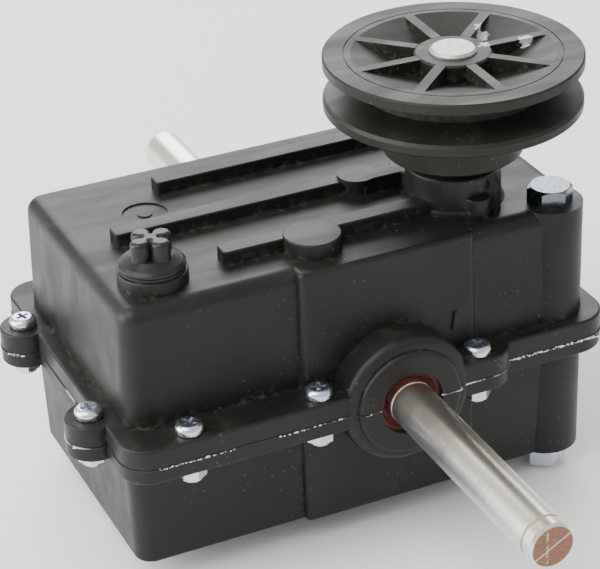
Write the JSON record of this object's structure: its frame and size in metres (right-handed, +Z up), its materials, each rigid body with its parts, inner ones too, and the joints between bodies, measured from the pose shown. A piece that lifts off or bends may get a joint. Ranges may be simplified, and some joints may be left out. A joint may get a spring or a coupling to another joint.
{
  "type": "worm and spur gearbox",
  "caption": "Right-angle reduction gearbox: a belt pulley on the upright input shaft drives a long output shaft through a sealed split plastic housing.",
  "frame": {"origin": "on the flat base of the lower housing, under the middle of the output shaft", "axes": "+Z up, along the input shaft towards the pulley; +Y along the output shaft, towards its plain rear end; +X from the middle of the housing towards the side with the pulley and the corner bolts"},
  "size_m": [0.1838, 0.2956, 0.1512],
  "materials": {
    "housing_black": "satin moulded glass-filled plastic",
    "pulley_black": "satin moulded plastic",
    "plug_black": "moulded plastic, slightly glossy",
    "shaft_steel": "ground steel",
    "zinc_steel": "bright zinc plate",
    "bolt_zinc": "dark bluish zinc plate",
    "bearing_steel": "polished bearing steel",
    "spring_steel": "phosphated spring steel",
    "gear_steel": "machined steel",
    "wheel_bronze": "machined bronze",
    "bush_bronze": "sintered bronze",
    "seal_red": "matt fluorocarbon rubber",
    "gasket_black": "matt rubber",
    "sealant_grey": "cured silicone"
  },
  "bodies": {
    "housing": {"upper_housing": "housing_black", "lower_housing": "housing_black", "joint_sealant": "sealant_grey", "flange_screws": "zinc_steel", "flange_nuts": "zinc_steel", "corner_bolts": "bolt_zinc", "corner_washers": "zinc_steel", "corner_nuts": "zinc_steel", "filler_plug": "plug_black", "filler_plug_seal": "gasket_black", "front_output_seal": "seal_red", "rear_output_seal": "seal_red", "input_seal": "seal_red", "front_output_bush": "bush_bronze", "rear_output_bush": "bush_bronze", "front_layshaft_bush": "bush_bronze", "rear_layshaft_bush": "bush_bronze", "upper_bearing_outer_ring": "bearing_steel", "lower_bearing_outer_ring": "bearing_steel", "bearing_retaining_ring": "spring_steel"},
    "input": {"input_shaft": "shaft_steel", "input_pulley": "pulley_black", "pulley_key": "gear_steel", "upper_bearing_inner_ring": "bearing_steel", "lower_bearing_inner_ring": "bearing_steel"},
    "upper_cage": {"upper_bearing_balls": "bearing_steel"},
    "lower_cage": {"lower_bearing_balls": "bearing_steel"},
    "wheel_cluster": {"worm_wheel": "wheel_bronze", "first_pinion": "gear_steel", "wheel_key": "gear_steel"},
    "layshaft": {"layshaft": "gear_steel", "lay_gear": "gear_steel", "lay_pinion": "gear_steel", "lay_gear_key": "gear_steel", "lay_pinion_key": "gear_steel", "layshaft_spacer": "gear_steel", "layshaft_ring": "spring_steel"},
    "output": {"output_shaft": "shaft_steel", "output_gear": "gear_steel", "output_key": "gear_steel", "output_spacer": "gear_steel", "output_retaining_rings": "spring_steel"}
  },
  "joints": [
    {"name": "input_spin", "type": "hinge", "parent": "housing", "child": "input", "pos_m": [0.0363, -0.021, 0.0445], "axis": [0, 0, 1], "continuous": true},
    {"name": "upper_cage_spin", "type": "hinge", "parent": "housing", "child": "upper_cage", "pos_m": [0.0363, -0.021, 0.0821], "axis": [0, 0, 1], "continuous": true},
    {"name": "lower_cage_spin", "type": "hinge", "parent": "housing", "child": "lower_cage", "pos_m": [0.0363, -0.021, 0.0092], "axis": [0, 0, 1], "continuous": true},
    {"name": "wheel_spin", "type": "hinge", "parent": "housing", "child": "wheel_cluster", "pos_m": [0, -0.021, 0.0445], "axis": [0, 1, 0], "continuous": true},
    {"name": "layshaft_spin", "type": "hinge", "parent": "housing", "child": "layshaft", "pos_m": [-0.045, 0, 0.0445], "axis": [0, 1, 0], "continuous": true},
    {"name": "output_spin", "type": "hinge", "parent": "housing", "child": "output", "pos_m": [0, 0, 0.0445], "axis": [0, 1, 0], "continuous": true}
  ],
  "couplings": [
    {"joint": "upper_cage_spin", "follows": "input_spin", "ratio": 0.4},
    {"joint": "lower_cage_spin", "follows": "input_spin", "ratio": 0.3825},
    {"joint": "wheel_spin", "follows": "input_spin", "ratio": 0.038462},
    {"joint": "layshaft_spin", "follows": "input_spin", "ratio": -0.013986},
    {"joint": "output_spin", "follows": "input_spin", "ratio": 0.005994}
  ]
}
